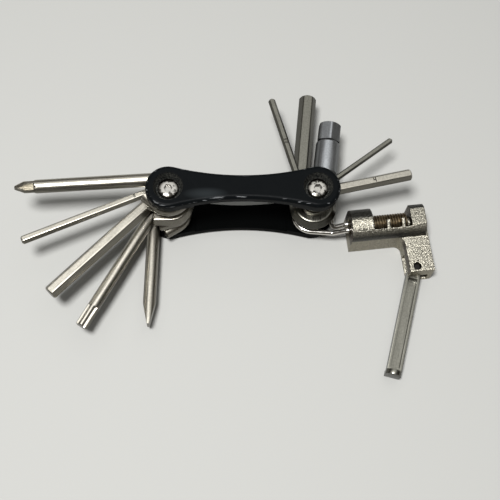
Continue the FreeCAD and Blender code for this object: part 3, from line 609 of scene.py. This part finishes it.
hook_bar("cross_driver", "cross_head_driver", "cross_tip", LEFT_BOLT, "cross", ROUND_SIDES, WIDE_TAIL,
         cross_end)
hook_bar("key_3", "hex_key_3", "hex_3_tip", LEFT_BOLT, "hex3", 6, WIDE_TAIL, blunt_end)
hook_bar("key_5", "hex_key_5", "hex_5_tip", LEFT_BOLT, "hex5", 6, SLACK_TAIL, blunt_end, slack=KEY_5_SLACK)
hook_bar("star_driver", "star_head_driver", "star_tip", LEFT_BOLT, "star", ROUND_SIDES, SLACK_TAIL,
         star_end, slack=STAR_SLACK)
hook_bar("blade_driver", "slotted_driver", "slotted_tip", LEFT_BOLT, "slotted", ROUND_SIDES, WIDE_TAIL,
         blade_end, wrap=SLOTTED_WRAP)
hook_bar("key_2_5", "hex_key_2_5", "hex_2_5_tip", RIGHT_BOLT, "hex2_5", 6, TIGHT_TAIL, blunt_end,
         colour=DULL_STEEL)
hook_bar("key_6", "hex_key_6", "hex_6_tip", RIGHT_BOLT, "hex6", 6, TIGHT_TAIL, blunt_end, colour=DULL_STEEL)


# Straight keys with a flat ring eye: 4 mm (eye 12.2 mm) and 2 mm (eye 8.8 mm). The eye is a
# spun profile with rounded edges, and the bar grows out of it.
EYE_HOLE = 2.08 * MM
EYE_4_RADIUS = 6.1 * MM
EYE_2_RADIUS = 4.4 * MM
EYE_EDGE = 0.3 * MM
EYE_CORNER = 0.3 * EYE_EDGE
EYE_STEPS = 72
BAR_START = 0.7


def spun(shape, profile, axis, steps=EYE_STEPS):
    """Turn a closed profile of points into a ring round an axis through the origin."""
    points = [shape.verts.new(point) for point in profile]
    edges = [shape.edges.new(pair) for pair in zip(points, points[1:] + points[:1])]
    bmesh.ops.spin(shape, geom=points + edges, cent=(0, 0, 0), axis=axis, angle=math.tau, steps=steps,
                   use_merge=True, use_duplicate=False)


def eye_key(name, node, mount, body, eye_radius, colour):
    """A bar that starts inside a ring eye round the right bolt."""
    across, reach, offset, place, turn = bar_place(node, mount, RIGHT_BOLT)
    shape = bmesh.new()
    ring = bar_ring(shape, across, 6, offset)
    start = BAR_START * eye_radius
    bmesh.ops.translate(shape, verts=shape.verts, vec=(start, 0, 0))
    blunt_end(shape, ring, reach - start, offset, across)
    half = across / 2
    lower = [(EYE_HOLE, 0, -half), (eye_radius - EYE_EDGE, 0, -half),
             (eye_radius - EYE_CORNER, 0, EYE_CORNER - half), (eye_radius, 0, EYE_EDGE - half)]
    upper = [(x, y, -z) for x, y, z in reversed(lower)]
    spun(shape, lower + upper, (0, 0, 1))
    bmesh.ops.transform(shape, matrix=place, verts=shape.verts)
    piece = crisp(shown(name, shape))
    piece.data.materials.append(satin_steel(name + "_finish", turn, colour))
    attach(piece, body)
    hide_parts(node)


eye_key("key_4", "hex_key_4", "hex_4_tip", "hex4", EYE_4_RADIUS, STEEL)
eye_key("key_2", "hex_key_2", "hex_2_tip", "hex2", EYE_2_RADIUS, DULL_STEEL)


# 8 mm adapter: a round body 9.2 mm across that steps down into an 8 mm hexagon with a corner
# nearly on top. Its bore slides on a 5 mm hexagon arm with a flat eye. The two rounds are
# millimetres forward of the body's rear and front, and in from its radius.
ADAPTER_RADIUS = 4.6 * MM
ADAPTER_BODY = 13.4 * MM
ADAPTER_HEAD = 7.4 * MM
ADAPTER_AF = 8.0 * MM
ADAPTER_TURN = math.radians(35.6)
ADAPTER_CHAMFER_SLOPE = 0.7
ADAPTER_BORE = 2.65 * MM
REAR_ROUND = ((0.0, 0.5), (0.15, 0.15), (0.5, 0.0))
FRONT_ROUND = ((-1.2, 0.0), (-0.8, 0.12), (-0.45, 0.45), (-0.1, 0.9), (0.3, 1.1))
ADAPTER_ROUGH = 0.40
BLUE_STEEL = (0.42, 0.435, 0.45, 1.0)
STEM_ROUND = 0.25 * MM
SAME_CORNER = 1e-6
FLAT_WITHIN = math.radians(1.0)
ROUNDED_FROM = math.radians(35)


def softened(name, node, width, material, body):
    """A merged copy of a part's mesh with rounded edges."""
    shape = bmesh.new()
    shape.from_mesh(frame["nodes"][node].data)
    bmesh.ops.remove_doubles(shape, verts=shape.verts, dist=SAME_CORNER)
    bmesh.ops.dissolve_limit(shape, angle_limit=FLAT_WITHIN, verts=shape.verts, edges=shape.edges)
    for face in shape.faces:
        face.smooth = True
    piece = shown(name, shape)
    piece.data.materials.append(material)
    bevel = piece.modifiers.new("round_edges", "BEVEL")
    bevel.width = width
    bevel.segments = 3
    bevel.limit_method = "ANGLE"
    bevel.angle_limit = ROUNDED_FROM
    bevel.harden_normals = True
    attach(piece, body)
    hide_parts(node)


def adapter_socket():
    """The adapter as a spun body and a chamfered hexagon; its turn in the XY plane comes back."""
    axis = Vector(mounts["hex_8_tip"]["axis"])
    tip = Vector(mounts["hex_8_tip"]["pos_m"])
    turn = math.atan2(axis.y, axis.x)
    shape = bmesh.new()
    head = bar_ring(shape, ADAPTER_AF, 6, 0)
    bmesh.ops.rotate(shape, verts=shape.verts, matrix=Matrix.Rotation(ADAPTER_TURN, 3, "X"))
    bmesh.ops.translate(shape, verts=shape.verts, vec=(-ADAPTER_HEAD, 0, 0))
    turned_end(shape, drawn_out(shape, head, (ADAPTER_HEAD, 0, 0)), 0,
               ADAPTER_AF / math.sqrt(3) - TIP_CHAMFER, ADAPTER_CHAMFER_SLOPE)
    back = -ADAPTER_HEAD - ADAPTER_BODY
    front = -ADAPTER_HEAD
    skin = [(start + along * MM, 0, ADAPTER_RADIUS - inward * MM)
            for start, steps in ((back, REAR_ROUND), (front, FRONT_ROUND)) for along, inward in steps]
    spun(shape, [(back, 0, ADAPTER_BORE)] + skin + [(skin[-1][0], 0, ADAPTER_BORE)], (1, 0, 0))
    place = Matrix.Translation(tip) @ Matrix.Rotation(turn, 4, "Z")
    bmesh.ops.transform(shape, matrix=place, verts=shape.verts)
    piece = crisp(shown("adapter_socket", shape))
    piece.data.materials.append(satin_steel("adapter_finish", turn, BLUE_STEEL, ADAPTER_ROUGH))
    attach(piece, "adapter")
    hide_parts("hex_adapter_8")
    return turn


adapter_turn = adapter_socket()
softened("adapter_stem", "adapter_arm", STEM_ROUND, satin_steel("stem_finish", adapter_turn),
         "adapter_arm")


# Chain tool body: a pebbled nickel-plated casting, 28 mm along the barrel, with rounded edges.
# A merged copy of the part is remeshed at 0.2 mm, smoothed and roughened by 0.07 mm grains. Its
# walls are tan and its pits dark, and painted shade darkens the flanks of the barrel, the back
# slope of its raised part and its rear face.
CAST = (0.52, 0.49, 0.405, 1.0)
CAST_PIT_AND_SHADE_DARK = (0.065, 0.064, 0.057, 1.0)
CAST_TAN = (0.33, 0.30, 0.225, 1.0)
CAST_REAR_SHADE = (0.06, 0.045, 0.03, 1.0)
CAST_ROUGH = 0.36
BARREL_HEIGHT = 10.6 * MM
BARREL_FADE = 0.15 * MM
REAR_SHADE_FROM = 6.0 * MM
REAR_SHADE_FULL = 7.0 * MM
CAST_VOXEL = 0.2 * MM
GRAIN_SIZE = 0.45 * MM
GRAIN_DEPTH = 0.07 * MM
GRAIN_MIDDLE = 0.75
PEBBLE_DEPTH = 0.14 * MM
GRIT = 4200.0
PIT_SIZE = 0.4 * MM
PIT_SHARE = 0.55
SCREW_AXIS = Vector(next(joint["axis"] for joint in frame["joints"] if joint["name"] == "screw_spin"))


def turned_to(material, direction, low, high):
    """How far the surface faces a direction, from one cosine to another."""
    normal = linked(material, "ShaderNodeTexCoord", {}, "Normal")
    faced = linked(material, "ShaderNodeVectorMath", {0: normal, 1: direction}, "Value",
                   operation="DOT_PRODUCT")
    return ramp(material, faced, low, high)


def cast_metal():
    material, shader = node_material("pebbled_casting")
    place = own_place(material)
    pebble = linked(material, "ShaderNodeTexVoronoi", {"Vector": place, "Scale": 1.0 / GRAIN_SIZE}, "Distance")
    grain = worked(material, "SUBTRACT", pebble, noise(material, place, GRIT, 3.0))
    rough_up(material, shader, grain, 1.0, PEBBLE_DEPTH)
    upward = own_normal(material, "Z")
    height = linked(material, "ShaderNodeSeparateXYZ", {0: place}, "Z")
    raised = ramp(material, height, BARREL_HEIGHT - BARREL_FADE, BARREL_HEIGHT + BARREL_FADE)
    # The barrel's flanks above the wall are painted dark: painted shade. The same dark colour also marks the real
    # pits.
    painted_barrel_shade = worked(material, "MULTIPLY", raised, ramp(material, upward, 0.78, 0.40))
    # The rear face, from 6 to 7 mm up, is painted dark brown: painted shade.
    painted_rear_shade = worked(material, "MULTIPLY", turned_to(material, -SCREW_AXIS, 0.75, 0.95),
                  ramp(material, height, REAR_SHADE_FROM, REAR_SHADE_FULL))
    # The slope of the raised part that faces sideways to the back is painted dark: painted shade.
    sideways = Vector((-SCREW_AXIS.y, SCREW_AXIS.x, 0))
    painted_back_shade = worked(material, "MULTIPLY", turned_to(material, sideways, -0.12, 0.2), raised)
    pitted = ramp(material, noise(material, place, 1.0 / PIT_SIZE, 2.0), 0.56, 0.44, 0.0, PIT_SHARE)
    colour = CAST
    for share, over in ((ramp(material, upward, 0.5, 0.3), CAST_TAN), (painted_back_shade, CAST_PIT_AND_SHADE_DARK), (pitted, CAST_PIT_AND_SHADE_DARK),
                        (painted_barrel_shade, CAST_PIT_AND_SHADE_DARK), (painted_rear_shade, CAST_REAR_SHADE)):
        colour = blend(material, share, colour, over)
    feed(material, shader, "Base Color", colour)
    shader.inputs["Roughness"].default_value = CAST_ROUGH
    shader.inputs["Metallic"].default_value = 1.0
    return material


def cast_body():
    shape = bmesh.new()
    shape.from_mesh(frame["nodes"]["chain_tool_body"].data)
    bmesh.ops.remove_doubles(shape, verts=shape.verts, dist=SAME_CORNER)
    piece = shown("cast_chain_body", shape)
    piece.data.materials.append(cast_metal())
    remesh = piece.modifiers.new("even_mesh", "REMESH")
    remesh.mode = "VOXEL"
    remesh.voxel_size = CAST_VOXEL
    remesh.use_smooth_shade = True
    soften = piece.modifiers.new("cast_edges", "SMOOTH")
    soften.factor = 0.5
    soften.iterations = 6
    clouds = bpy.data.textures.new("cast_grain", "CLOUDS")
    clouds.noise_scale = GRAIN_SIZE
    clouds.noise_depth = 1
    rough = piece.modifiers.new("cast_grain", "DISPLACE")
    rough.texture = clouds
    rough.texture_coords = "LOCAL"
    rough.strength = GRAIN_DEPTH
    rough.mid_level = GRAIN_MIDDLE
    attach(piece, "chain_body")
    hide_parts("chain_tool_body")


cast_body()


# Driver screw: 6.8 mm across and 21.5 mm long with a 1 mm thread, one tooth spun along a helix
# and cut square at both ends. A cup in its rear end, 5.4 mm wide and 5 mm deep, takes the
# bail's legs. The driver pin in front of it has the same oily finish.
SCREW_LENGTH = 21.5 * MM
THREAD_RADIUS = 3.4 * MM
THREAD_DEPTH = 0.55 * MM
THREAD_STEPS = 40
THREAD_CREASE = math.radians(25)
THREAD_MERGE = 0.005 * MM
PITCH = 1.0 * MM
CREST_HALF = 0.14
ROOT_HALF = 0.08
CUP_RADIUS = 2.7 * MM
CUP_DEPTH = 5.0 * MM
CUP_FLOOR = 0.1 * MM
CUP_CENTRE = 0.01 * MM
CUP_UNDER_ROOT = 0.05 * MM
OILY_BROWN = (0.21, 0.16, 0.095, 1.0)
GRIME_SHADE = 0.3
GRIME = 700.0
OILY_ROUGH = 0.3
OILY_METAL = 0.9


def oily_steel():
    material, shader = node_material("oily_brown_steel")
    grime = ramp(material, noise(material, own_place(material), GRIME, 5.0), 0.4, 0.65)
    feed(material, shader, "Base Color", blend(material, grime, OILY_BROWN, darker(OILY_BROWN, GRIME_SHADE)))
    shader.inputs["Roughness"].default_value = OILY_ROUGH
    shader.inputs["Metallic"].default_value = OILY_METAL
    return material


def threaded_screw():
    root = THREAD_RADIUS - THREAD_DEPTH
    tooth = [(-1.0, THREAD_RADIUS), (CREST_HALF - 1.0, THREAD_RADIUS), (-0.5 - ROOT_HALF, root),
             (-0.5 + ROOT_HALF, root), (-CREST_HALF, THREAD_RADIUS), (0.0, THREAD_RADIUS)]
    shape = bmesh.new()
    points = [shape.verts.new((turns_on * PITCH, 0, radius)) for turns_on, radius in tooth]
    edges = [shape.edges.new(pair) for pair in zip(points, points[1:])]
    turns = int(SCREW_LENGTH / PITCH) + 3
    bmesh.ops.spin(shape, geom=points + edges, cent=(0, 0, 0), axis=(1, 0, 0), angle=math.tau * turns,
                   steps=THREAD_STEPS * turns, dvec=(PITCH / THREAD_STEPS, 0, 0), use_duplicate=False)
    bmesh.ops.remove_doubles(shape, verts=shape.verts, dist=THREAD_MERGE)
    for where, way in ((0.0, -1), (SCREW_LENGTH, 1)):
        everything = list(shape.verts) + list(shape.edges) + list(shape.faces)
        cut = bmesh.ops.bisect_plane(shape, geom=everything, plane_co=(where, 0, 0), plane_no=(way, 0, 0),
                                     clear_outer=True)["geom_cut"]
        if way > 0:
            bmesh.ops.contextual_create(shape, geom=[e for e in cut if isinstance(e, bmesh.types.BMEdge)])
    outside = root - CUP_UNDER_ROOT
    under = CUP_DEPTH + CUP_FLOOR
    spun(shape, [(0, 0, outside), (0, 0, CUP_RADIUS), (CUP_DEPTH, 0, CUP_RADIUS), (CUP_DEPTH, 0, CUP_CENTRE),
                 (under, 0, CUP_CENTRE), (under, 0, outside)], (1, 0, 0))
    turn = math.atan2(SCREW_AXIS.y, SCREW_AXIS.x)
    place = Matrix.Translation(joint_at["screw_spin"]) @ Matrix.Rotation(turn, 4, "Z")
    bmesh.ops.transform(shape, matrix=place, verts=shape.verts)
    piece = crisp(shown("threaded_screw", shape), THREAD_CREASE)
    piece.data.materials.append(brown_steel)
    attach(piece, "screw")
    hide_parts("driver_screw")


brown_steel = oily_steel()
threaded_screw()
recoat("driver_pin", brown_steel)


# Lever pin: blackened steel, duller in patches. The lever turns on it in the slot of the
# casting's arm.
PIN_BLACK = (0.012, 0.011, 0.010, 1.0)
PIN_METAL = 0.8
PIN_ROUGH = (0.45, 0.7)
PIN_PATCHES = 1800.0


def dark_pin():
    material, shader = node_material("blackened_pin")
    patch = noise(material, own_place(material), PIN_PATCHES, 3.0)
    feed(material, shader, "Roughness", ramp(material, patch, 0.3, 0.7, *PIN_ROUGH))
    shader.inputs["Base Color"].default_value = PIN_BLACK
    shader.inputs["Metallic"].default_value = PIN_METAL
    return material


recoat("lever_pin", dark_pin())


# Lever: a folded channel 5.4 mm wide that ends in an upright rounded tab. It swings in the slot
# of the casting's arm.
LEVER_TURN = math.radians(-105.4)
LEVER_ROUND = 0.3 * MM
softened("folded_lever", "lever", LEVER_ROUND, satin_steel("lever_finish", LEVER_TURN, DULL_STEEL),
         "lever")


# Size stamps: small dark digits that read along the top flats of three keys, 36% of a bar's
# width high, so that they stay within its flat. Their strokes stand 0.01 mm above the steel, and
# each digit is a path over a grid two units wide and four high.
STAMP_UNIT = 0.09
STAMP_STEP = 3.0
STROKE = 0.085
STAMP_THICK = 0.02 * MM
STAMP_4_AT = 22.2 * MM
STAMP_2_5_AT = 25.7 * MM
STAMP_3_AT = 11.5 * MM
STAMP_DARK = (0.02, 0.017, 0.013, 1.0)
STAMP_ROUGH = (0.5, 0.8)
STAMP_SHINE = 0.1
STAMP_WEAR = 5000.0
STROKES = {
    "2": ((0, 4), (2, 4), (2, 2), (0, 2), (0, 0), (2, 0)),
    "3": ((0, 4), (2, 4), (2, 2), (0, 2), (2, 2), (2, 0), (0, 0)),
    "4": ((0, 4), (0, 2), (2, 2), (2, 4), (2, 0)),
    "5": ((2, 4), (0, 4), (0, 2), (2, 2), (2, 0), (0, 0)),
    ".": ((0.8, 0), (1.2, 0)),
}


def stamp_ink():
    material, shader = node_material("dark_stamp")
    wear = noise(material, own_place(material), STAMP_WEAR, 2.0)
    feed(material, shader, "Roughness", ramp(material, wear, 0.3, 0.7, *STAMP_ROUGH))
    shader.inputs["Base Color"].default_value = STAMP_DARK
    shader.inputs["Specular IOR Level"].default_value = STAMP_SHINE
    return material


stamped = stamp_ink()


def stamp(name, digits, node, mount, bolt, body, along):
    """Digits in a row along a bar, centred at a distance from its bolt."""
    across, _, offset, place, _ = bar_place(node, mount, bolt)
    unit = STAMP_UNIT * across
    stroke = STROKE * across
    shape = bmesh.new()
    for row, digit in enumerate(digits):
        corner = Vector((along + STAMP_STEP * unit * (row - len(digits) / 2), offset - 2 * unit, across / 2))
        points = [corner + Vector((x, y, 0)) * unit for x, y in STROKES[digit]]
        for start, end in zip(points, points[1:]):
            line = end - start
            size = Matrix.Diagonal((line.length + stroke, stroke, STAMP_THICK, 1))
            aimed = Matrix.Rotation(math.atan2(line.y, line.x), 4, "Z")
            bmesh.ops.create_cube(shape, size=1.0, matrix=Matrix.Translation((start + end) / 2) @ aimed @ size)
    bmesh.ops.transform(shape, matrix=place, verts=shape.verts)
    piece = shown(name, shape)
    piece.data.materials.append(stamped)
    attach(piece, body)


stamp("stamp_4", "4", "hex_key_4", "hex_4_tip", RIGHT_BOLT, "hex4", STAMP_4_AT)
stamp("stamp_2_5", "2.5", "hex_key_2_5", "hex_2_5_tip", RIGHT_BOLT, "hex2_5", STAMP_2_5_AT)
stamp("stamp_3", "3", "hex_key_3", "hex_3_tip", LEFT_BOLT, "hex3", STAMP_3_AT)
